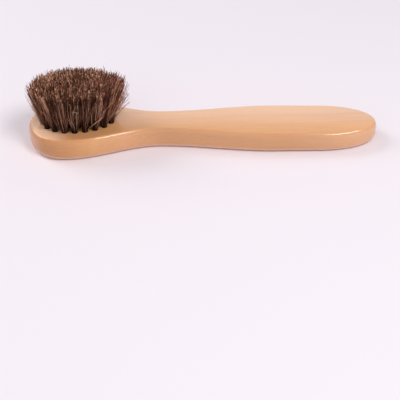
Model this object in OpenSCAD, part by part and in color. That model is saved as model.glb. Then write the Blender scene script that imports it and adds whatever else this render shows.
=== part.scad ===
// Shoe shine brush: an egg-shaped head and a long grip cut from one plank of pale wood,
// with tufts of horsehair folded over wire staples in drilled holes.
// It lies on its flat back. X runs from the head to the grip's end, Z up through the bristles,
// and the origin is under the middle of the brush, on the surface it lies on.

/* [Handle outline] */
// Overall length, from the nose of the head to the end of the grip
length = 180; // [170:1:200]
// Width of the head where it is widest
head_w = 41.5; // [40:0.5:46]
// Distance of the widest place from the nose
head_at = 21.5; // [20:0.5:24]
// Length of the rounding at the nose
nose_len = 18; // [15:0.5:20]
// Fullness of the nose, where 2 is an ellipse
nose_power = 1.9; // [1.8:0.1:2.4]
// Width of the neck where it is narrowest
neck_w = 18.8; // [15:0.2:24]
// Distance of the narrowest place from the nose
neck_at = 68; // [62:1:76]
// Width of the grip
grip_w = 30.2; // [24:0.2:36]
// Distance from the nose to where the grip has its full width
grip_at = 127; // [115:1:135]
// Length of the rounding at the grip's end
end_len = 30; // [24:1:34]
// Fullness of the grip's end, where 2 is an ellipse
end_power = 2.1; // [1.8:0.1:2.6]

/* [Handle section] */
// Thickness of the plank at the head
head_t = 12; // [11:0.2:14]
// Thickness at the end of the grip
end_t = 10.4; // [9.6:0.2:11]
// Distance from the nose to where the plank starts to thin
taper_from = 60; // [50:1:90]
// How far the sanded edge reaches in on the bristle face
face_round_in = 2.2; // [1:0.1:3]
// How far the sanded edge reaches down from the bristle face
face_round_down = 3.3; // [1:0.1:4]
// How far the sanded edge reaches in on the back
back_round_in = 3.4; // [2:0.1:4]
// How far the sanded edge reaches up from the back
back_round_up = 4.4; // [2:0.1:5]

/* [Tuft field] */
// Distance of the middle of the tuft field from the nose
field_at = 25.5; // [25:0.1:26]
// Half length of the outer ring of tufts
ring_half_l = 17.9; // [17.6:0.1:18.4]
// Half width of the outer ring of tufts
ring_half_w = 11.4; // [11.2:0.1:12]
// Distance between the outer and the inner ring
ring_gap = 5.4; // [5.2:0.1:5.5]
// How much wider the rings are at the nose than at the neck
ring_egg = 0.12; // [0:0.01:0.16]
// Tufts in the outer ring
outer_tufts = 18; // [16:2:18]
// Tufts in the inner ring
inner_tufts = 12; // [10:2:12]
// Tufts in the row down the middle
middle_tufts = 4; // [2:2:4]
// Distance between the tufts in the middle row
middle_step = 5; // [4.8:0.1:5.2]
// Diameter of a drilled hole
hole_d = 3.4; // [3.3:0.05:3.6]
// Depth of a drilled hole
hole_depth = 7; // [6:0.5:7.5]

/* [Bristles] */
// Strands drawn in each tuft
strands = 14; // [9:1:14]
// Height of the bristles above the face, at the middle of the field
bristle_h = 23.5; // [18:0.5:26]
// How much shorter the bristles of the outer ring are
dome_drop = 1.6; // [0:0.1:3]
// How much taller the bristles are at the field's neck end, and shorter at its nose end
neck_lift = 0.7; // [0:0.1:1.2]
// How much the field grows from the roots to the tips
spread = 1.25; // [1.22:0.01:1.3]
// Shift of the tips towards the grip
tip_shift = 0.5; // [0:0.1:1]
// Radius of a tuft at the tips
tip_r = 2.8; // [2.4:0.1:2.9]
// Radius of a strand at its root
strand_r = 0.24; // [0.18:0.01:0.24]
// Unevenness of the tips' height
uneven = 0.7; // [0:0.1:1]

/* [Staples] */
// Thickness of the staple wire
wire_t = 0.5; // [0.4:0.05:0.6]
// Width of the staple wire
wire_w = 1; // [0.8:0.1:1.2]
// Width across a staple's legs
staple_w = 2.7; // [2.5:0.1:2.8]
// Height of the staple's crown above the hole's floor
crown_h = 1.7; // [1.4:0.1:2]
// How far the legs go into the wood below the hole
leg_bite = 2.5; // [1.5:0.1:3]

/* [Hidden] */
// Evenness of the plank's taper, where 1 is a straight line
taper_power = 1.3;
// Room between a tuft and its hole, and between a staple and the hair round it
hair_gap = 0.05;
wire_gap = 0.03;
// How far a tuft's solid root stands above the face, and how far its strands reach into it
root_above = 0.35;
root_sink = 0.5;
// How far a cut runs on past the surface that it opens
overcut = 1;
// A strand's corners, its swelling at the root, half way and the tip, and its sideways wave
strand_sides = 3;
strand_swell = [1, 1.2, 1.3];
wave = 0.08;
// How far half way up a tuft has leaned out, and how far it has opened
half_way_lean = 0.42;
half_way_open = 0.64;
golden_angle = 137.5;
// Points along the outline's nose, body and end, along a rounded edge, and along a ring of tufts
nose_steps = 12;
body_steps = 36;
end_steps = 14;
round_steps = 4;
arc_steps = 120;

hole_floor = head_t - hole_depth;
tuft_count = outer_tufts + inner_tufts + middle_tufts;

function tuft_name(i) = str("tuft_", i < 9 ? "0" : "", i + 1);

// Smooth step from 0 to 1
function ease(u) = let (t = min(max(u, 0), 1)) t * t * (3 - 2 * t);

// Half width of the outline without its ends: head, neck and grip
function plank_half(s) =
    s < neck_at
        ? head_w / 2 + (neck_w - head_w) / 2 * ease((s - head_at) / (neck_at - head_at))
        : neck_w / 2 + (grip_w - neck_w) / 2 * ease((s - neck_at) / (grip_at - neck_at));

// Rounds an end off: 0 at its tip and 1 where the rounding is over
function cap(from_tip, reach, power) =
    let (u = min(max(1 - from_tip / reach, 0), 1))
    pow(max(1 - pow(u, power), 0), 1 / power);

// Half width of the handle at the distance s from the nose
function half_w(s) =
    plank_half(s) * cap(s, nose_len, nose_power) * cap(length - s, end_len, end_power);

// Height of the bristle face at the distance s from the nose
function face_z(s) =
    let (u = max(s - taper_from, 0) / (length - taper_from))
    head_t - (head_t - end_t) * pow(u, taper_power);

// Distances from the nose at which the outline has a point, close together at the ends
stations = concat(
    [for (i = [1 : nose_steps]) nose_len * (1 - cos(90 * i / nose_steps))],
    [for (i = [1 : body_steps - 1]) nose_len + (length - end_len - nose_len) * i / body_steps],
    [for (i = [0 : end_steps - 1]) length - end_len + end_len * sin(90 * i / end_steps)]
);
station_count = len(stations);

// The outline as points, from the nose along one side and back along the other
outline = concat(
    [[0, 0]],
    [for (s = stations) [s, half_w(s)]],
    [[length, 0]],
    [for (i = [station_count - 1 : -1 : 0]) [stations[i], -half_w(stations[i])]]
);
ring_n = len(outline);

// Direction into the wood at each point of the outline
inward = [
    for (i = [0 : ring_n - 1])
        let (along = outline[(i + 1) % ring_n] - outline[(i + ring_n - 1) % ring_n])
        [along.y, -along.x] / norm(along)
];

// The edge's section: how far in from the outline, the height from the back,
// and the share of the plank's taper that the height follows
edge_section = concat(
    [
        for (i = [0 : round_steps])
            let (a = 90 * i / round_steps)
            [back_round_in * (1 - sin(a)), back_round_up * (1 - cos(a)), 0]
    ],
    [
        for (i = [0 : round_steps])
            let (a = 90 * i / round_steps)
            [face_round_in * (1 - cos(a)), head_t - face_round_down * (1 - sin(a)), 1]
    ]
);
ring_count = len(edge_section);

function edge_point(i, j) =
    let (flat_point = outline[i] + inward[i] * edge_section[j][0])
    let (thinner = (head_t - face_z(outline[i].x)) * edge_section[j][2])
    [flat_point.x - length / 2, flat_point.y, edge_section[j][1] - thinner];

// A flat cap across the handle, in strips between the two sides
function cap_faces(base, up) =
    let (
        tris = concat(
            [[0, 1, ring_n - 1]],
            [for (i = [1 : station_count - 1]) [i, i + 1, ring_n - i]],
            [for (i = [1 : station_count - 1]) [i + 1, ring_n - i - 1, ring_n - i]],
            [[station_count, station_count + 1, station_count + 2]]
        )
    )
    [for (t = tris) up ? [base + t[0], base + t[1], base + t[2]] : [base + t[2], base + t[1], base + t[0]]];

module plank() {
    points = [for (j = [0 : ring_count - 1], i = [0 : ring_n - 1]) edge_point(i, j)];
    side_faces = [
        for (j = [0 : ring_count - 2], i = [0 : ring_n - 1])
            let (a = j * ring_n + i, b = j * ring_n + (i + 1) % ring_n)
            each [[a, b + ring_n, a + ring_n], [a, b, b + ring_n]]
    ];
    polyhedron(
        points = points,
        faces = concat(cap_faces(0, false), side_faces, cap_faces((ring_count - 1) * ring_n, true))
    );
}

// A point on a ring of the tuft field, in the handle's coordinates
function ring_point(angle, half_l, half_w) =
    [
        field_at - length / 2 + half_l * cos(angle),
        half_w * sin(angle) * (1 - ring_egg * cos(angle))
    ];

// Length along a ring up to each of its steps, paired with the angle there
function arc_table(half_l, half_w) = [
    for (
        i = 0, run = 0;
        i <= arc_steps;
        i = i + 1,
        run = run + norm(
            ring_point(i * 360 / arc_steps, half_l, half_w)
            - ring_point((i - 1) * 360 / arc_steps, half_l, half_w)
        )
    ) [run, i * 360 / arc_steps]
];

// Tufts at equal distances along a ring
function ring_of_tufts(count, half_l, half_w) =
    let (table = arc_table(half_l, half_w))
    let (around = table[arc_steps][0])
    [for (k = [0 : count - 1]) ring_point(lookup(around * (k + 0.5) / count, table), half_l, half_w)];

field_x = field_at - length / 2;
tuft_places = concat(
    ring_of_tufts(outer_tufts, ring_half_l, ring_half_w),
    ring_of_tufts(inner_tufts, ring_half_l - ring_gap, ring_half_w - ring_gap),
    [for (k = [0 : middle_tufts - 1]) [field_x + (k - (middle_tufts - 1) / 2) * middle_step, 0]]
);

// The staple's outline seen from the side: a crown with a leg at each end
module staple_profile(grow) {
    half = staple_w / 2 + grow;
    bore = half - wire_t - 2 * grow;
    top = crown_h + grow;
    polygon([
        [-half, -leg_bite],
        [-half, top],
        [half, top],
        [half, -leg_bite],
        [bore, -leg_bite],
        [bore, top - wire_t - 2 * grow],
        [-bore, top - wire_t - 2 * grow],
        [-bore, -leg_bite]
    ]);
}

// One staple of flat wire, standing on the floor of the hole at place
module staple(place, grow = 0) {
    translate([place.x, place.y, hole_floor])
        rotate([90, 0, 0])
            linear_extrude(wire_w + 2 * grow, center = true)
                staple_profile(grow);
}

// The slits that the two legs cut into the wood
module leg_slits(place) {
    for (side = [-1, 1])
        translate([
            place.x + side * (staple_w - wire_t) / 2 - wire_t / 2,
            place.y - wire_w / 2,
            hole_floor - leg_bite
        ])
            cube([wire_t, wire_w, leg_bite + overcut]);
}

module handle() {
    color([0.91, 0.73, 0.56])
        difference() {
            plank();
            for (place = tuft_places) {
                translate([place.x, place.y, hole_floor])
                    cylinder(h = hole_depth + overcut, d = hole_d, $fn = 24);
                leg_slits(place);
            }
        }
}

module anchor_staples() {
    color([0.7, 0.7, 0.72])
        for (place = tuft_places)
            staple(place);
}

// Strands stand on a sunflower spiral, so that none is close to another
function spiral(k) = sqrt((k + 0.5) / strands) * [cos(k * golden_angle), sin(k * golden_angle), 0];

// Share of the dome's drop at a place in the field: 0 in the middle and 1 on the outer ring
function outness(place) =
    let (u = (place.x - field_x) / ring_half_l, v = place.y / ring_half_w)
    min(u * u + v * v, 1);

// Height of the trimmed tips over a place in the field
function tip_z(place) =
    head_t + bristle_h - dome_drop * outness(place) + neck_lift * (place.x - field_x) / ring_half_l;

// Middle of the strand k of a tuft at its root, half way up and at its tip
function strand_line(index, k) =
    let (
        place = tuft_places[index],
        chance = rands(-1, 1, 3, index * strands + k),
        root_r = hole_d / 2 - hair_gap - wire_gap - strand_r,
        lean = [tip_shift + (place.x - field_x) * (spread - 1), place.y * (spread - 1)],
        half_way = place + half_way_lean * lean,
        half_r = root_r + half_way_open * (tip_r - root_r),
        top = place + lean,
        root_z = head_t + root_above - root_sink,
        top_z = tip_z(place) + uneven * chance[0]
    )
    [
        [place.x, place.y, root_z] + root_r * spiral(k),
        [half_way.x, half_way.y, (root_z + top_z) / 2] + half_r * spiral(k) + wave * [chance[1], chance[2], 0],
        [top.x, top.y, top_z] + tip_r * spiral(k)
    ];

// One strand along its line, a little thicker towards its cut end, as a lock of hair is
module strand(line) {
    rings = len(line);
    points = [
        for (j = [0 : rings - 1], side = [0 : strand_sides - 1])
            let (turn = 360 * side / strand_sides, r = strand_r * strand_swell[j])
            line[j] + r * [cos(turn), sin(turn), 0]
    ];
    walls = [
        for (j = [0 : rings - 2], side = [0 : strand_sides - 1])
            let (a = j * strand_sides + side, b = j * strand_sides + (side + 1) % strand_sides)
            each [[a, a + strand_sides, b + strand_sides], [a, b + strand_sides, b]]
    ];
    root_end = [for (side = [0 : strand_sides - 1]) side];
    cut_end = [for (side = [strand_sides - 1 : -1 : 0]) (rings - 1) * strand_sides + side];
    polyhedron(points = points, faces = concat([root_end], walls, [cut_end]));
}

// The folded end of a tuft, which fills its hole and is held down by the staple
module tuft_root(place) {
    difference() {
        translate([place.x, place.y, hole_floor])
            cylinder(h = hole_depth + root_above, r = hole_d / 2 - hair_gap, $fn = 24);
        staple(place, wire_gap);
    }
}

module tuft(index) {
    color([0.25, 0.17, 0.12])
        union() {
            tuft_root(tuft_places[index]);
            for (k = [0 : strands - 1])
                strand(strand_line(index, k));
        }
}

handle();
anchor_staples();
for (i = [0 : tuft_count - 1])
    tuft(i);
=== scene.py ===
import math

import bmesh
import bpy
import numpy as np
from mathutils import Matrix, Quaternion, Vector


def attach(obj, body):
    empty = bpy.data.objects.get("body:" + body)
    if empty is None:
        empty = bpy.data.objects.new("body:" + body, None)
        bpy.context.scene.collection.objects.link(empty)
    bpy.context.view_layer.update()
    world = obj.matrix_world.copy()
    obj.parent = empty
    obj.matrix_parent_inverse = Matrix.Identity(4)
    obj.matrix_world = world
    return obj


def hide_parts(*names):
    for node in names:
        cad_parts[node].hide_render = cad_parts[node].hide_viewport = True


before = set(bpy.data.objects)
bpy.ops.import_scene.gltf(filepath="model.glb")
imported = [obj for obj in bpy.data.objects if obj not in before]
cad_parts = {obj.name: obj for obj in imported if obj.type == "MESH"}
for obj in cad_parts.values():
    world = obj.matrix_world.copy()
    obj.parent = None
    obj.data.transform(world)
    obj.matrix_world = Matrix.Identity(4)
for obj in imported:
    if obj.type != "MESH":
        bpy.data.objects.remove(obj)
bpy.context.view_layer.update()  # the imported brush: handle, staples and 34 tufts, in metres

mm = 0.001
nearEnough = 1e-6  # metres; heights nearer than this are the same
spotDigits = 7  # decimals of a metre that tell the points of an outline apart
bpy.ops.object.select_all(action="DESELECT")


# short ways to make a material of nodes

def setInputs(tree, node, inputs):
    # an input takes a link from another node, or a plain value
    for name, value in inputs.items():
        if isinstance(value, bpy.types.NodeSocket):
            tree.links.new(value, node.inputs[name])
        else:
            node.inputs[name].default_value = value


def nodeMaker(tree):
    def add(kind, inputs=None, **settings):
        node = tree.nodes.new("ShaderNode" + kind)
        for name, value in settings.items():
            setattr(node, name, value)
        setInputs(tree, node, inputs or {})
        return node

    return add


def newMaterial(name):
    material = bpy.data.materials.new(name)
    material.use_nodes = True
    return material


def setSurface(material, inputs):
    setInputs(material.node_tree, material.node_tree.nodes["Principled BSDF"], inputs)


def ranged(add, value, fromRange, toRange=(0.0, 1.0), smooth=False):
    # maps one range of values onto another, evenly or with soft ends
    inputs = {"Value": value, "From Min": fromRange[0], "From Max": fromRange[1],
              "To Min": toRange[0], "To Max": toRange[1]}
    step = "SMOOTHSTEP" if smooth else "LINEAR"
    return add("MapRange", inputs, interpolation_type=step).outputs[0]


def product(add, first, second):
    return add("Math", {0: first, 1: second}, operation="MULTIPLY").outputs[0]


def blended(add, factor, first, second, blend="MIX"):
    inputs = {"Factor": factor, "A": first, "B": second}
    return add("Mix", inputs, data_type="RGBA", blend_type=blend).outputs["Result"]


def shaded(add, colour, factor):
    return add("VectorMath", {0: colour, "Scale": factor}, operation="SCALE").outputs[0]


def colourRow(add, value, stops):
    # a colour ramp over a coordinate: stops are (place, colour) pairs
    low, high = stops[0][0], stops[-1][0]
    row = add("ValToRGB", {"Fac": ranged(add, value, (low, high))})
    ramp = row.color_ramp
    while len(ramp.elements) < len(stops):
        ramp.elements.new(0.5)
    for element, (at, colour) in zip(ramp.elements, stops):
        element.position = (at - low) / (high - low)
        element.color = (*colour, 1)
    return row.outputs["Color"]


# camera, floor and light

photoView = {
    "place": (-1.22 * mm, -422.6 * mm, 277.6 * mm),
    "aim": (-1.92 * mm, 0.0, -40.7 * mm),
    "roll": -0.70,  # degrees
    "lens": 86.62,
    "sensor": 36.0,
    "clipStart": 10 * mm,
}

studio = {
    "paperColour": (0.896, 0.838, 0.884),  # of the floor, and of what is seen behind it
    "paperRoughness": 0.9,
    "floorSize": 6.0,
    "fillLight": (0.44, 0.43, 0.45),  # the even light from all round
    "softboxes": {
        "rightSoftbox": {"place": (0.42, -0.42, 0.82), "size": 0.36, "watts": 4.4},
        "leftSoftbox": {"place": (-0.74, 0.36, 0.69), "size": 0.60, "watts": 3.9},
        "frontFill": {"place": (-0.45, -0.95, 0.85), "size": 0.9, "watts": 1.8},
        # a bright card that only gloss mirrors
        "gleamCard": {"place": (0.55, -0.11, 0.83), "size": 0.22, "watts": 1.8, "gleamOnly": True},
    },
}


def addCamera(view):
    place, aim = Vector(view["place"]), Vector(view["aim"])
    roll = Quaternion((0, 0, 1), math.radians(view["roll"]))
    turn = (aim - place).to_track_quat("-Z", "Y") @ roll
    bpy.ops.object.camera_add(location=place, rotation=turn.to_euler())
    camera = bpy.context.object
    camera.name = "photoCamera"
    camera.data.lens = view["lens"]
    camera.data.sensor_width = view["sensor"]
    camera.data.clip_start = view["clipStart"]
    bpy.context.scene.camera = camera


def addFloor():
    bpy.ops.mesh.primitive_plane_add(size=studio["floorSize"], location=(0, 0, 0))
    floor = bpy.context.object
    floor.name = "studioFloor"
    paper = newMaterial("palePaper")
    setSurface(paper, {"Base Color": (*studio["paperColour"], 1), "Roughness": studio["paperRoughness"],
                       "Specular IOR Level": 0.0})
    floor.data.materials.append(paper)


def addSoftLight(name, light):
    # a square lamp that looks at the middle of the brush
    place = Vector(light["place"])
    turn = (-place).to_track_quat("-Z", "Y")
    bpy.ops.object.light_add(type="AREA", location=place, rotation=turn.to_euler())
    lamp = bpy.context.object
    lamp.name = name
    lamp.data.shape = "SQUARE"
    lamp.data.size = light["size"]
    lamp.data.energy = light["watts"]
    lamp.visible_diffuse = not light.get("gleamOnly", False)


def lightWorld():
    # the world gives the even light, while the camera and gloss see pale paper there
    world = bpy.data.worlds.new("studioWorld")
    bpy.context.scene.world = world
    world.use_nodes = True
    tree = world.node_tree
    add = nodeMaker(tree)
    fill = tree.nodes["Background"]
    setInputs(tree, fill, {"Color": (*studio["fillLight"], 1)})
    paper = add("Background", {"Color": (*studio["paperColour"], 1)})
    rays = add("LightPath").outputs
    seen = rays["Is Camera Ray"]
    for kind in ("Is Glossy Ray", "Is Transmission Ray"):
        seen = add("Math", {0: seen, 1: rays[kind]}, operation="MAXIMUM").outputs[0]
    both = add("MixShader", {0: seen, 1: fill.outputs[0], 2: paper.outputs[0]})
    setInputs(tree, tree.nodes["World Output"], {"Surface": both.outputs[0]})


bpy.context.scene.view_settings.view_transform = "Standard"
addCamera(photoView)
addFloor()
for name, light in studio["softboxes"].items():
    addSoftLight(name, light)
lightWorld()
print("studio ready")


# the wooden handle: an egg-shaped head and a long grip, cut from one plank

plank = {
    "length": 180 * mm,
    "headWidth": 41.5 * mm,
    "headAt": 21.5 * mm,  # the places of head, neck and grip are distances from the nose
    "noseLength": 18 * mm,
    "nosePower": 1.9,  # 2 rounds the nose as an ellipse
    "neckWidth": 18.8 * mm,
    "neckAt": 68 * mm,
    "gripWidth": 30.2 * mm,
    "gripAt": 127 * mm,
    "endLength": 30 * mm,
    "endPower": 2.1,
    "headThickness": 12 * mm,
    "endThickness": 10.4 * mm,
    "taperFrom": 60 * mm,
    "taperPower": 1.3,
    "faceRoundIn": 2.2 * mm,  # the sanded edges, in from the side and down or up from the flat
    "faceRoundDown": 3.3 * mm,
    "backRoundIn": 3.4 * mm,
    "backRoundUp": 4.4 * mm,
    "roundSteps": 8,
    "holdingEdge": 0.4 * mm,
    "manySided": 8,  # a face with more sides than this is one of the two flats
    "noseSteps": 26,
    "bodySteps": 88,
    "endSteps": 32,
    "smoothAngle": 40,  # degrees
}

holes = {
    "diameter": 3.4 * mm,
    "depth": 7 * mm,
    "sides": 32,
    "drillAbove": 1 * mm,  # how far the drill stands out of the wood
}

field = {
    "tufts": 34,
    "outerTufts": 18,  # the first ones stand in the outer ring
    "middle": -64.5 * mm,
    "halfLength": 17.9 * mm,
    "halfWidth": 11.4 * mm,
    "plugBelow": 1 * mm,  # what lies deeper than this in the wood is a packed tuft's plug
    "tipsAbove": 15 * mm,  # and what stands higher than this above it is the tuft's tips
}


def easeStep(u):
    u = min(max(u, 0.0), 1.0)
    return u * u * (3 - 2 * u)


def bodyHalfWidth(s):
    head, neck, grip = plank["headWidth"] / 2, plank["neckWidth"] / 2, plank["gripWidth"] / 2
    headAt, neckAt, gripAt = plank["headAt"], plank["neckAt"], plank["gripAt"]
    if s < neckAt:
        return head + (neck - head) * easeStep((s - headAt) / (neckAt - headAt))
    return neck + (grip - neck) * easeStep((s - neckAt) / (gripAt - neckAt))


def roundedEnd(fromTip, reach, power):
    u = min(max(1 - fromTip / reach, 0.0), 1.0)
    return max(1 - u ** power, 0.0) ** (1 / power)


def halfWidth(s):
    nose = roundedEnd(s, plank["noseLength"], plank["nosePower"])
    end = roundedEnd(plank["length"] - s, plank["endLength"], plank["endPower"])
    return bodyHalfWidth(s) * nose * end


def faceHeight(s):
    # height of the bristle face at a distance from the nose
    u = max(s - plank["taperFrom"], 0.0) / (plank["length"] - plank["taperFrom"])
    thinning = plank["headThickness"] - plank["endThickness"]
    return plank["headThickness"] - thinning * u ** plank["taperPower"]


def stations():
    # distances from the nose, crowded together at the two ends, which each close with one short edge
    length, nose, end = plank["length"], plank["noseLength"], plank["endLength"]
    noseSteps, bodySteps, endSteps = plank["noseSteps"], plank["bodySteps"], plank["endSteps"]
    body = length - nose - end
    quarter = math.pi / 2
    atNose = [nose * (1 - math.cos(quarter * (i + 0.5) / (noseSteps + 0.5))) for i in range(noseSteps)]
    onBody = [nose + body * i / bodySteps for i in range(bodySteps + 1)]
    atEnd = [length - end * (1 - math.sin(quarter * (i + 1) / (endSteps + 0.5))) for i in range(endSteps)]
    return atNose + onBody + atEnd


def outlinePoints():
    near = [(s - plank["length"] / 2, -halfWidth(s)) for s in stations()]
    return near + [(x, -y) for x, y in reversed(near)]


def pick(piece, kind, test):
    # in edit mode, selects only those edges or faces that pass the test
    shape = bmesh.from_edit_mesh(piece.data)
    for part in (*shape.faces, *shape.edges, *shape.verts):
        part.select = False
    for part in getattr(shape, kind):
        if test(part):
            part.select_set(True)
    shape.select_flush_mode()
    bmesh.update_edit_mesh(piece.data)


def roundRim(piece, onRim, reach):
    # rounds the rim at one height, in quarter circles
    pick(piece, "edges", lambda edge: all(onRim(vertex.co.z) for vertex in edge.verts))
    bpy.ops.mesh.bevel(offset=reach, segments=plank["roundSteps"], profile=0.5, affect="EDGES")


def closeFlat(piece, z):
    # a narrow holding edge, then rungs from side to side in place of the many-sided face
    def isFlat(face):
        return abs(face.calc_center_median().z - z) < nearEnough and len(face.verts) > plank["manySided"]

    def spot(vertex):
        return round(vertex.co.x, spotDigits), round(vertex.co.y, spotDigits)

    bpy.ops.mesh.select_mode(type="FACE")
    pick(piece, "faces", isFlat)
    bpy.ops.mesh.inset(thickness=plank["holdingEdge"], depth=0)
    flat = next(face for face in bmesh.from_edit_mesh(piece.data).faces if isFlat(face))
    loop = {spot(vertex) for vertex in flat.verts}
    bpy.ops.mesh.delete(type="ONLY_FACE")

    def isSide(edge):
        # the short edges at nose and grip end, which cross the middle, stay open
        first, second = edge.verts
        onLoop = all(abs(v.co.z - z) < nearEnough and spot(v) in loop for v in (first, second))
        return onLoop and first.co.y * second.co.y > 0

    bpy.ops.mesh.select_mode(type="EDGE")
    pick(piece, "edges", isSide)
    bpy.ops.mesh.bridge_edge_loops()


def drawOut(piece, top):
    # the round edges get their real heights, and the plank thins towards the grip's end
    for vertex in piece.data.vertices:
        z = vertex.co.z
        if z < top / 2:
            vertex.co.z = z * plank["backRoundUp"] / plank["backRoundIn"]
        else:
            fromTop = (top - z) * plank["faceRoundDown"] / plank["faceRoundIn"]
            vertex.co.z = faceHeight(vertex.co.x + plank["length"] / 2) - fromTop


def shapePlank():
    # a disc is pulled to the outline and extruded, with its edges as deep as they are wide at first
    outline = outlinePoints()
    wall = plank["headThickness"] - plank["faceRoundDown"] - plank["backRoundUp"]
    top = plank["faceRoundIn"] + plank["backRoundIn"] + wall
    radius = plank["headWidth"] / 2
    bpy.ops.mesh.primitive_circle_add(vertices=len(outline), radius=radius, fill_type="NGON")
    piece = bpy.context.object
    piece.name = "handle_wood"
    byAngle = sorted(piece.data.vertices, key=lambda v: math.atan2(v.co.y, v.co.x))
    for vertex, (x, y) in zip(byAngle, outline):
        vertex.co = (x, y, 0)

    bpy.ops.object.mode_set(mode="EDIT")
    bpy.ops.mesh.select_all(action="SELECT")
    bpy.ops.mesh.extrude_region_move(TRANSFORM_OT_translate={"value": (0, 0, top)})
    bpy.ops.mesh.select_all(action="SELECT")
    bpy.ops.mesh.normals_make_consistent(inside=False)
    bpy.ops.mesh.select_mode(type="EDGE")
    roundRim(piece, lambda z: z > top - nearEnough, plank["faceRoundIn"])
    roundRim(piece, lambda z: z < nearEnough, plank["backRoundIn"])
    closeFlat(piece, top)
    closeFlat(piece, 0.0)
    bpy.ops.mesh.select_all(action="SELECT")
    bpy.ops.mesh.normals_make_consistent(inside=False)
    bpy.ops.object.mode_set(mode="OBJECT")
    drawOut(piece, top)
    return piece


def tuftPlaces():
    # each tuft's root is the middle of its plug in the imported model, and its tip the middle of its tips
    places = []
    for number in range(1, field["tufts"] + 1):
        node = f"tuft_{number:02d}"
        points = np.array([v.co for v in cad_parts[node].data.vertices])
        plug = points[points[:, 2] < plank["headThickness"] - field["plugBelow"]]
        tips = points[points[:, 2] > plank["headThickness"] + field["tipsAbove"]]
        root = (plug.min(0) + plug.max(0)) / 2
        outer = number <= field["outerTufts"]
        places.append({"node": node, "outer": outer, "root": root[:2], "tip": tips.mean(0)[:2]})
    return places


def drillHoles(piece, places):
    reach = holes["depth"] + holes["drillAbove"]
    middle = plank["headThickness"] - holes["depth"] + reach / 2
    cutters = []
    for place in places:
        bpy.ops.mesh.primitive_cylinder_add(
            vertices=holes["sides"], radius=holes["diameter"] / 2, depth=reach,
            location=(*place["root"], middle))
        cutters.append(bpy.context.object)
    for cutter in cutters:
        cutter.select_set(True)
    bpy.context.view_layer.objects.active = cutters[0]
    bpy.ops.object.join()
    drill = bpy.context.object
    bpy.ops.object.select_all(action="DESELECT")
    piece.select_set(True)
    bpy.context.view_layer.objects.active = piece
    cut = piece.modifiers.new("drilledHoles", "BOOLEAN")
    cut.operation = "DIFFERENCE"
    cut.solver = "EXACT"
    cut.object = drill
    bpy.ops.object.modifier_apply(modifier=cut.name)
    bpy.data.objects.remove(drill)


wood = {
    # across the bristle face, from the warm near side to the pale far side: the wood's tone, with a
    # painted sheen that grows towards the far side
    "acrossToneAndSheen": ((-15 * mm, (0.690, 0.335, 0.145)), (-8.5 * mm, (0.770, 0.382, 0.152)),
                      (0.0, (0.805, 0.452, 0.255)), (9 * mm, (0.835, 0.525, 0.335))),
    # along the sawn edge, from the nose to the grip's end: partly the wood's own tone and reddish end
    # grain, partly painted light and shade
    "alongToneAndShade": ((-88 * mm, (0.600, 0.280, 0.125)), (-80 * mm, (0.540, 0.240, 0.090)),
                     (-68 * mm, (0.650, 0.298, 0.113)), (-55 * mm, (0.800, 0.405, 0.168)),
                     (-40 * mm, (0.810, 0.415, 0.200)), (-18 * mm, (0.675, 0.340, 0.157)),
                     (45 * mm, (0.650, 0.330, 0.155)), (80 * mm, (0.770, 0.425, 0.225))),
    "backColour": (0.865, 0.550, 0.375),
    "nosePaintedLight": (0.900, 0.570, 0.370),  # painted light on the bristle face at the nose, where the hair shades it
    "noseFades": (-64 * mm, -80 * mm),
    "rimPaintedShade": (0.97, 0.90, 0.80),  # painted shade on the rounded edge of the bristle face, beside the sawn edge, where the lacquer mirrors less light
    # where one tone gives way to the next: 1 faces up, 0 faces sideways and -1 faces down
    "sideToRim": (0.25, 0.70),
    "rimToFace": (0.72, 0.99),
    "nearlyFlat": (0.94, 1.0),
    "sideToBack": (-0.10, -0.80),
    "ring": (0.700, 0.330, 0.145),
    "ringGap": 2.6 * mm,
    "waveGap": 0.314,  # between the wave texture's rings at a scale of 1
    "ringEdge": (0.55, 1.0),  # the dark part of a ring
    "ringStrength": 0.14,
    "ringWander": {"Distortion": 3.2, "Detail": 2.0, "Detail Scale": 0.35, "Detail Roughness": 0.5},
    # the pith lies under the plank, nearly along it
    "pith": {"Location": (0, 0.021, 0.052), "Rotation": (0.0, 0.03, 0.045), "Scale": (0.35, 1, 1)},
    # three noises: a range of each noise makes the wood's tone go from one shade to the other
    "patches": {"scale": (9, 60, 60), "detail": 1.0, "range": (0.35, 0.65), "shades": (0.95, 1.05)},
    "fibres": {"scale": (45, 1500, 1500), "detail": 3.0, "range": (0.25, 0.75), "shades": (0.95, 1.05)},
    "flecks": {"scale": (420, 3200, 3200), "detail": 0.0, "range": (0.66, 0.74), "shades": (1.0, 0.93)},
    "noiseRoughness": 0.55,
    "roughness": (0.36, 0.48),
    "bump": {"Strength": 0.12, "Distance": 0.05 * mm},
    "gloss": 0.25,
    "lacquer": 0.9,
    "lacquerRoughness": 0.09,
}


def woodTonesAndPaintedLight(add, axes, facing):
    # the bristle face runs from warm to pale with painted sheen and has painted light at the nose, its
    # rounded edge has painted shade, the back is pale, and the sawn edge is darker, partly as painted
    # shade
    def turned(fromRange):
        return ranged(add, facing, fromRange, smooth=True)

    # painted sheen across the bristle face
    across = colourRow(add, axes["Y"], wood["acrossToneAndSheen"])
    # the sawn edge: the wood's own tone with painted light and shade
    along = colourRow(add, axes["X"], wood["alongToneAndShade"])
    nearNose = ranged(add, axes["X"], wood["noseFades"], smooth=True)
    # painted light: the bristle face is paler near the nose
    paintedLightShare = product(add, nearNose, turned(wood["nearlyFlat"]))
    face = blended(add, paintedLightShare, across, (*wood["nosePaintedLight"], 1))
    # painted shade: the rounded edge is made warmer and darker
    tone = blended(add, turned(wood["sideToRim"]), along, (*wood["rimPaintedShade"], 1), "MULTIPLY")
    tone = blended(add, turned(wood["rimToFace"]), tone, face)
    return blended(add, turned(wood["sideToBack"]), tone, (*wood["backColour"], 1))


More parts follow.
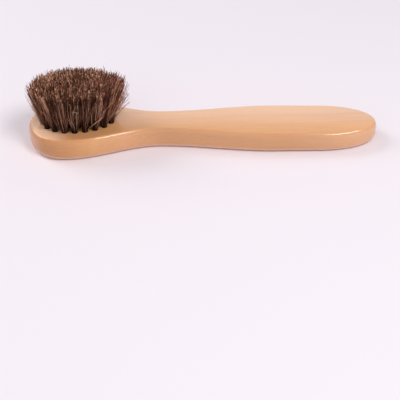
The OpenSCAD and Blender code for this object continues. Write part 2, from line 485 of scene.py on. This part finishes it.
def growthRings(add, place, tone):
    log = add("Mapping", {"Vector": place, **wood["pith"]}).outputs[0]
    scale = wood["waveGap"] / wood["ringGap"]
    rings = add("TexWave", {"Vector": log, "Scale": scale, **wood["ringWander"]},
                wave_type="RINGS", rings_direction="X", wave_profile="SAW").outputs["Fac"]
    share = product(add, ranged(add, rings, wood["ringEdge"]), wood["ringStrength"])
    return blended(add, share, tone, (*wood["ring"], 1))


def woodNoise(add, place, kind):
    # returns the noise and the shade that it gives the wood
    stretched = add("Mapping", {"Vector": place, "Scale": kind["scale"]}).outputs[0]
    noise = add("TexNoise", {"Vector": stretched, "Scale": 1.0, "Detail": kind["detail"],
                             "Roughness": wood["noiseRoughness"]}).outputs["Fac"]
    return noise, ranged(add, noise, kind["range"], kind["shades"])


def lacqueredBeech():
    material = newMaterial("lacqueredBeech")
    add = nodeMaker(material.node_tree)
    coordinates = add("TexCoord").outputs
    place = coordinates["Object"]
    axes = add("SeparateXYZ", {0: place}).outputs
    facing = add("SeparateXYZ", {0: coordinates["Normal"]}).outputs["Z"]
    ringed = growthRings(add, place, woodTonesAndPaintedLight(add, axes, facing))

    # broad patches, fibres along the plank and the short dark flecks of beech
    patchShade = woodNoise(add, place, wood["patches"])[1]
    fibres, fibreShade = woodNoise(add, place, wood["fibres"])
    fleckShade = woodNoise(add, place, wood["flecks"])[1]
    grain = product(add, product(add, patchShade, fibreShade), fleckShade)
    setSurface(material, {
        "Base Color": shaded(add, ringed, grain),
        "Roughness": ranged(add, fibres, wood["fibres"]["range"], wood["roughness"]),
        "Normal": add("Bump", {"Height": fibres, **wood["bump"]}).outputs[0],
        "Specular IOR Level": wood["gloss"],
        "Coat Weight": wood["lacquer"],
        "Coat Roughness": wood["lacquerRoughness"],
    })
    return material


places = tuftPlaces()
handle = shapePlank()
drillHoles(handle, places)
bpy.ops.object.shade_smooth_by_angle(angle=math.radians(plank["smoothAngle"]))
handle.data.materials.append(lacqueredBeech())
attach(handle, "root")
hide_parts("handle")
print("handle shaped and drilled:", len(handle.data.polygons), "faces")


# the horsehair: one hair is shaped once, and copied into every tuft

hair = {
    "seed": 100,
    "locks": 56,  # in a tuft
    "perLock": 6,
    "sides": 3,
    "ringsAt": (0.0, 0.165, 0.25, 0.37, 0.52, 0.68, 0.85, 1.0),  # shares of a hair's height
    "thickness": 0.22 * mm,
    "thicknessRange": (0.7, 1.45),  # thin and thick hairs, beside that
    "tipShare": 0.55,  # thickness at the tip, beside the root
    "start": 7.4 * mm,  # height of the hidden ends, just above the staple
    "bundleRadius": 1.42 * mm,
    "tipRadius": 3.4 * mm,
    "opening": 0.62,  # below 1, a tuft opens out quickly above its hole
    "jitter": 0.35,  # how far evenly spread places are moved, beside the gap between them
    "mingling": 0.5,  # at 0 a lock's hairs start together, and at 1 anywhere in the hole
    # heights
    "height": 23.5 * mm,
    "domeDrop": 1.6 * mm,
    "domeSpread": 1.25,  # the dome's foot, beside the outer ring
    "domeLimit": 1.1,  # the most that the dome falls, beside its drop
    "neckLift": 0.7 * mm,  # the tips stand a little taller towards the neck
    "lockUneven": 0.34 * mm,
    "hairUneven": 0.34 * mm,
    "pointed": 0.6,  # how much lower the outer hairs of a lock end
    "shortLocks": 0.10,  # share of the locks that are cut short, and by how much
    "shortBy": (0.5 * mm, 3 * mm),
    # lean
    "leanShare": 0.96,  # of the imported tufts' lean
    "leanBend": 1.45,  # above 1, a tuft stands up first and leans out later
    "leanAside": 0.8 * mm,  # the hair leans a little to the far side
    "drawIn": 0.05,  # and a little towards the middle of the brush
    "noseDraw": 1.2 * mm,  # how far the tips at the nose are drawn back
    # shape of the locks
    "lockStray": 0.40 * mm,  # how far a lock's tip wanders
    "lockWidth": 0.42 * mm,  # how far its hairs spread where it is widest
    "widest": 0.8,  # below 1, that lies under half the height
    "tipWidth": 0.15 * mm,  # and how far they spread at its tip
    "bow": 0.35 * mm,
    "flick": 0.9 * mm,  # the last stretch of a lock turns aside
    "flickFrom": 0.7,
    "flickOver": 0.3,
    "crossing": 0.20,  # share of the hairs that run across the others, and how far
    "crossingLean": 1.4 * mm,
    "crossingLimit": 1.6,  # and the most that they do, beside that
    # loose hairs of a tuft on the outer ring, which lean out and are cut shorter
    "strays": 36,
    "endStrays": 34,  # how many more at the two ends of the field
    "strayLean": 2.8 * mm,
    "strayReach": (0.1, 1),  # the least and the most that one leans, beside that
    "straySink": (0.2, 0.9),  # and that its tip sinks, beside its own lean
    "strayTurn": 0.6,  # radians to either side
    "strayShort": 0.5,  # the shortest loses this share of its height
    "strayBend": 1.4,  # above 1, a loose hair leans out later
    "noseGap": 0.1 * mm,  # no hair comes nearer to the end of the brush
    "singleRadius": 0.17 * mm,
    "fanOut": 0.06 * mm,  # between the hairs of the fair lock, at their tips
}

goldenTurn = 2.39996  # radians from one place to the next on a sunflower's spiral
fullTurn = 6.28

# single hairs that stand out in front, and one fair lock: the points that they pass, in millimetres,
# and their shade
looseHairs = {
    "tuft_12": [{"shade": 0.79, "hairs": 9,
                 "points": ((-75.4, -10.6, 8), (-75.8, -10.9, 13.6), (-76.1, -11.6, 19.2),
                            (-76.6, -12.6, 24.2), (-78.0, -13.6, 29.2), (-79.3, -14.6, 33.6))}],
    "tuft_15": [{"shade": 0.89, "hairs": 1,
                 "points": ((-60.0, -11.0, 8), (-59.2, -12.0, 12.8), (-56.2, -12.9, 16.1),
                            (-53.4, -13.3, 18.8), (-49.9, -13.5, 21.7))}],
    "tuft_14": [{"shade": 0.86, "hairs": 1,
                 "points": ((-65.4, -11.6, 8), (-66.4, -14.6, 25.6), (-64.7, -15.3, 25.7),
                            (-63.2, -15.3, 26.0), (-61.8, -15.1, 25.0))},
                {"shade": 0.84, "hairs": 1,
                 "points": ((-65.8, -11.6, 8), (-65.4, -13.4, 19.0), (-65.0, -14.7, 23.7),
                            (-63.9, -15.2, 26.9), (-62.7, -15.3, 29.8))}],
}


def isUpright(edge):
    foot, top = edge.verts
    return abs(foot.co.z - top.co.z) > 0.5


def shapeHair():
    # a hair of unit height and radius, in rings that can bend
    bpy.ops.object.select_all(action="DESELECT")
    bpy.ops.mesh.primitive_cone_add(
        vertices=hair["sides"], radius1=1, radius2=hair["tipShare"], depth=1, location=(0, 0, 0.5))
    single = bpy.context.object
    bpy.ops.object.transform_apply(location=True)
    bpy.ops.object.mode_set(mode="EDIT")
    bpy.ops.mesh.select_mode(type="EDGE")
    pick(single, "edges", isUpright)
    bpy.ops.mesh.subdivide(number_cuts=len(hair["ringsAt"]) - 2)
    bpy.ops.object.mode_set(mode="OBJECT")
    points = np.array([v.co for v in single.data.vertices])
    faces = [tuple(face.vertices) for face in single.data.polygons]
    bpy.data.objects.remove(single)
    return points, faces


def alongField(place):
    # -1 at the nose end of the field, and 1 at its neck end
    return (place["root"][0] - field["middle"]) / field["halfLength"]


def domeTop(x, y):
    # height of the trimmed tips over a place on the field
    u = (x - field["middle"]) / (field["halfLength"] * hair["domeSpread"])
    v = (y - hair["leanAside"]) / (field["halfWidth"] * hair["domeSpread"])
    drop = hair["domeDrop"] * np.minimum(u * u + v * v, hair["domeLimit"])
    top = hair["height"] - drop + hair["neckLift"] * u
    return plank["headThickness"] + top


def compass(turn):
    return np.stack([np.cos(turn), np.sin(turn)], -1)


def inDisc(count, chance):
    # evenly spread places in a disc of radius 1, each moved a little
    k = np.arange(count) + 0.5
    turn = k * goldenTurn + chance.uniform(0, fullTurn)
    spots = np.sqrt(k / count)[:, None] * compass(turn)
    return spots + chance.normal(0, hair["jitter"] / math.sqrt(count), spots.shape)


def singleHairs(place):
    return [single for single in looseHairs.get(place["node"], ()) for _ in range(single["hairs"])]


def shapeLocks(place, chance):
    # where a tuft's locks end, how high, and how they bow and flick
    locks = hair["locks"]
    spots = inDisc(locks, chance)
    leaning = hair["leanShare"] * (place["tip"] - place["root"])
    drawnBack = hair["noseDraw"] * max(-alongField(place), 0) ** 2
    leaning += (drawnBack, hair["leanAside"] - hair["drawIn"] * place["root"][1])
    tips = hair["tipRadius"] * spots + chance.normal(0, hair["lockStray"], (locks, 2))
    tipX, tipY = (place["root"] + leaning + tips).T
    heights = domeTop(tipX, tipY) + chance.normal(0, hair["lockUneven"], locks)
    heights -= (chance.random(locks) < hair["shortLocks"]) * chance.uniform(*hair["shortBy"], locks)
    bowTurn, flickTurn = chance.uniform(0, 2 * math.pi, (2, locks))
    bows = hair["bow"] * chance.normal(0, 1, locks)
    flicks = hair["flick"] * chance.random(locks)
    return {"spots": spots, "leaning": leaning, "tips": tips, "heights": heights,
            "bows": bows[:, None] * compass(bowTurn), "flicks": flicks[:, None] * compass(flickTurn)}


def hairLines(place, locks, chance):
    # the middle line of every hair of a tuft, ring by ring from its hidden end to its tip
    count = hair["locks"] * hair["perLock"]
    lockOf = np.repeat(np.arange(hair["locks"]), hair["perLock"])
    lockSpots, tips = locks["spots"][lockOf], locks["tips"][lockOf]
    floor = plank["headThickness"]

    # the hairs of a lock start apart, run loosely together and close up to a point
    anywhere = inDisc(count, chance)[chance.permutation(count)]
    roots = hair["bundleRadius"] * (lockSpots + hair["mingling"] * (anywhere - lockSpots))
    loose = chance.normal(0, hair["lockWidth"], (count, 2))
    close = chance.normal(0, 1, (count, 2))
    uneven = hair["pointed"] * (close ** 2).sum(1) + chance.random(count)
    ends = locks["heights"][lockOf] - hair["hairUneven"] * uneven

    # some stand apart, and some cross the others
    u = alongField(place)
    strays = hair["strays"] + int(hair["endStrays"] * u * u) if place["outer"] else 0
    apart = chance.choice(count, strays, replace=False)
    ends[apart] -= (ends[apart] - floor) * chance.uniform(0, hair["strayShort"], strays)
    across = np.clip(chance.normal(0, 1, (count, 2)), -hair["crossingLimit"], hair["crossingLimit"])
    crosses = chance.random((count, 1)) < hair["crossing"]
    close = close * hair["tipWidth"] + hair["crossingLean"] * (across * crosses)

    z = hair["start"] + (ends[:, None] - hair["start"]) * np.array(hair["ringsAt"])
    up = np.clip((z - floor) / (ends[:, None] - floor), 0, 1)[:, :, None]
    opened = roots[:, None] + (tips - roots)[:, None] * up ** hair["opening"]
    bow = locks["bows"][lockOf, None] * np.sin(np.pi * up)
    flicked = np.clip((up - hair["flickFrom"]) / hair["flickOver"], 0, 1) ** 2
    flick = locks["flicks"][lockOf, None] * flicked
    spread = loose[:, None] * np.sin(np.pi * up ** hair["widest"]) + close[:, None] * up
    leaning = place["root"] + locks["leaning"] * up ** hair["leanBend"]
    lines = np.concatenate([leaning + opened + bow + flick + spread, z[:, :, None]], 2)
    return lines, up, apart


def leanStrays(lines, up, apart, place, chance):
    # the loose hairs lean out of the field, and sink as they lean
    strays = len(apart)
    out = place["root"] - (field["middle"], 0)
    turn = math.atan2(out[1], out[0]) + chance.normal(0, hair["strayTurn"], strays)
    lean = hair["strayLean"] * chance.uniform(*hair["strayReach"], strays)
    sink = -lean * chance.uniform(*hair["straySink"], strays)
    away = np.column_stack([lean[:, None] * compass(turn), sink])
    lines[apart] += up[apart] ** hair["strayBend"] * away[:, None]

    # a hair whose tip would pass the nose is bent back
    past = np.maximum(hair["noseGap"] - plank["length"] / 2 - lines[:, -1, 0], 0)
    lines[:, :, 0] += past[:, None] * up[:, :, 0] ** hair["strayBend"]


def placeSingles(lines, up, place, chance):
    # the hairs that are placed by hand take over the tuft's first lines
    rings = len(hair["ringsAt"])
    for number, single in enumerate(singleHairs(place)):
        points = np.array(single["points"]) * mm
        where = np.linspace(0, len(points) - 1, rings)
        passed = [np.interp(where, range(len(points)), points[:, axis]) for axis in range(3)]
        fan = hair["fanOut"] * number * up[number] * chance.normal(0, 1, 3)
        lines[number] = np.stack(passed, 1) + fan


def ringOf(points):
    # which ring of the single hair each of its points lies on
    return np.rint(points[:, 2] * (len(hair["ringsAt"]) - 1)).astype(int)


def sweepHairs(lines, radius, shape):
    # lays a copy of the single hair along each line
    points, faces = shape
    ring = ringOf(points)
    along = np.gradient(lines, axis=1)
    along /= np.linalg.norm(along, axis=2, keepdims=True)
    side = np.cross(along, (0.0, 1.0, 0.0))
    side /= np.linalg.norm(side, axis=2, keepdims=True)
    other = np.cross(along, side)
    around = side[:, ring] * points[None, :, 0:1] + other[:, ring] * points[None, :, 1:2]
    laid = lines[:, ring] + radius[:, None, None] * around
    steps = len(points) * np.arange(len(lines))
    allFaces = [tuple(int(v + step) for v in face) for step in steps for face in faces]
    return laid.reshape(-1, 3), allFaces


hairTones = {
    # the row of horsehair colours: from dark to fair, with reddish ones at the end
    "row": ((0.0, (0.012, 0.003, 0.001)), (0.30, (0.045, 0.014, 0.006)), (0.55, (0.155, 0.060, 0.030)),
            (0.75, (0.430, 0.210, 0.130)), (0.90, (0.800, 0.490, 0.350)), (0.94, (0.190, 0.035, 0.035)),
            (1.0, (0.140, 0.022, 0.022))),
    "fairest": 0.905,
    # clumps, their locks and the strands in a lock draw a shade each, and mix it with the one above;
    # the two numbers are those of a beta draw, and lower first numbers give more dark shades
    "clumps": 19,  # in a tuft
    "clumpShades": (0.7, 1.2),
    "lockShades": (1.2, 2.0),
    "strandShades": (0.6, 1.0),
    "clumpShare": 0.5,
    "lockShare": 0.5,
    "lightness": 0.97,
    "strandsPerLock": 3,
    "uneven": 0.05,
    "noseFair": 0.27,  # how much fairer the two ends of the field are
    "neckFair": 0.14,
    "fairShare": 0.05,  # share of the hairs that are fair, whatever their lock
    "fairRange": (0.80, 0.905),
    "strayRange": (0.55, 0.905),
    "redShare": 0.004,  # share of the locks that are reddish, and how it grows towards the neck
    "redAtNeck": 0.25,
    "redPower": 4,
    "redRange": (0.955, 0.985),
    # shades along a hair, painted: dark at the buried root as painted shade, darker again near the top as
    # painted shade between the locks, and bright at the cut tip as a painted highlight
    "rootPaintedShade": {"at": (0.22, 0.66), "shades": (0.30, 1.46)},
    "upperPaintedShade": {"at": (0.80, 0.93), "shades": (1.0, 0.75)},
    "tipPaintedHighlight": {"at": (0.945, 0.98), "shades": (1.0, 2.1)},
    "roughness": 0.42,
    "gloss": 0.10,
    # each hair's place on the map: its shade across, and its height from mapFoot up
    "mapWidth": 0.012,
    "mapFoot": 0.02,
    "mapHeight": 0.96,
}


def strandShades(u, spots, chance):
    # locks that stand together take on some of their clump's shade, and strands some of their lock's
    locks, clumps, strands = hair["locks"], hairTones["clumps"], hairTones["strandsPerLock"]
    clumpSpots = inDisc(clumps, chance)
    clumpOf = ((spots[:, None] - clumpSpots[None]) ** 2).sum(2).argmin(1)
    ofClump = chance.beta(*hairTones["clumpShades"], clumps)[clumpOf]
    ofLock = chance.beta(*hairTones["lockShades"], locks)
    share = hairTones["clumpShare"]
    lock = (share * ofClump + (1 - share) * ofLock) * hairTones["lightness"]
    lock += hairTones["noseFair"] * max(-u, 0) + hairTones["neckFair"] * max(u, 0)
    ofStrand = chance.beta(*hairTones["strandShades"], locks * strands)
    share = hairTones["lockShare"]
    return share * np.repeat(lock, strands) + (1 - share) * ofStrand


def hairShades(place, apart, spots, chance):
    # where each hair stands on the row of horsehair colours
    u = alongField(place)
    perLock = hair["perLock"]
    count = hair["locks"] * perLock
    shade = np.repeat(strandShades(u, spots, chance), perLock // hairTones["strandsPerLock"])
    shade = np.clip(shade + chance.normal(0, hairTones["uneven"], count), 0, hairTones["fairest"])
    fair = chance.random(count) < hairTones["fairShare"]
    shade = np.where(fair, chance.uniform(*hairTones["fairRange"], count), shade)
    shade[apart] = chance.uniform(*hairTones["strayRange"], len(apart))
    redShare = hairTones["redShare"] + hairTones["redAtNeck"] * max(u, 0) ** hairTones["redPower"]
    red = np.repeat(chance.random(hair["locks"]) < redShare, perLock)
    shade = np.where(red, chance.uniform(*hairTones["redRange"], count), shade)
    for number, single in enumerate(singleHairs(place)):
        shade[number] = single["shade"]
    return shade


def horsehair():
    material = newMaterial("horsehair")
    add = nodeMaker(material.node_tree)
    spot = add("SeparateXYZ", {0: add("UVMap", uv_map="OFBake").outputs[0]}).outputs
    # painted shade at the root and under the tips, and a painted highlight at the tip
    fades = [ranged(add, spot["Y"], hairTones[name]["at"], hairTones[name]["shades"], smooth=True)
             for name in ("rootPaintedShade", "upperPaintedShade", "tipPaintedHighlight")]
    fade = product(add, product(add, fades[0], fades[1]), fades[2])
    setSurface(material, {
        "Base Color": shaded(add, colourRow(add, spot["X"], hairTones["row"]), fade),
        "Roughness": hairTones["roughness"],
        "Specular IOR Level": hairTones["gloss"],
    })
    return material


def mapHairs(mesh, shades, unit):
    # the map carries each hair's shade and each ring's height to the material
    layer = mesh.uv_layers.new(name="OFBake")
    owner = np.empty(len(mesh.loops), int)
    mesh.loops.foreach_get("vertex_index", owner)
    one = owner % len(unit)
    across = np.arctan2(unit[:, 1], unit[:, 0]) / (2 * math.pi) * hairTones["mapWidth"]
    u = shades[owner // len(unit)] + across[one]
    height = np.array(hair["ringsAt"])[ringOf(unit)]
    v = hairTones["mapFoot"] + hairTones["mapHeight"] * height[one]
    layer.uv.foreach_set("vector", np.stack([u, v], 1).astype(np.float32).ravel())


def makeTuft(place, shape, material, seed):
    chance = np.random.default_rng(seed)
    locks = shapeLocks(place, chance)
    lines, up, apart = hairLines(place, locks, chance)
    leanStrays(lines, up, apart, place, chance)
    placeSingles(lines, up, place, chance)
    radius = hair["thickness"] / 2 * chance.uniform(*hair["thicknessRange"], len(lines))
    radius[:len(singleHairs(place))] = hair["singleRadius"]
    points, faces = sweepHairs(lines, radius, shape)
    name = "hair_" + place["node"]
    mesh = bpy.data.meshes.new(name)
    mesh.from_pydata(points.tolist(), [], faces)
    mapHairs(mesh, hairShades(place, apart, locks["spots"], chance), shape[0])
    mesh.materials.append(material)
    mesh.polygons.foreach_set("use_smooth", [True] * len(mesh.polygons))
    mesh.validate()
    piece = bpy.data.objects.new(name, mesh)
    bpy.context.scene.collection.objects.link(piece)
    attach(piece, "root")
    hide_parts(place["node"])


hairShape = shapeHair()
hairLook = horsehair()
for number, place in enumerate(places):
    makeTuft(place, hairShape, hairLook, hair["seed"] + number)
print("horsehair set:", len(places), "tufts")


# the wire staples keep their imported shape, and get the look of drawn steel

steel = {
    "dark": (0.44, 0.44, 0.46),
    "light": (0.60, 0.60, 0.61),
    "streaks": (900, 900, 120),  # fine across the wire, and long up its legs
    "streakDetail": 2.0,
    "roughness": (0.25, 0.42),
}


def stapleWire():
    material = newMaterial("stapleWire")
    add = nodeMaker(material.node_tree)
    place = add("TexCoord").outputs["Object"]
    drawn = add("Mapping", {"Vector": place, "Scale": steel["streaks"]}).outputs[0]
    noise = add("TexNoise", {"Vector": drawn, "Scale": 1.0, "Detail": steel["streakDetail"]})
    streaks = noise.outputs["Fac"]
    setSurface(material, {
        "Base Color": blended(add, streaks, (*steel["dark"], 1), (*steel["light"], 1)),
        "Roughness": ranged(add, streaks, (0.0, 1.0), steel["roughness"]),
        "Metallic": 1.0,
    })
    return material


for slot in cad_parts["anchor_staples"].material_slots:
    slot.material = stapleWire()
print("staples finished")
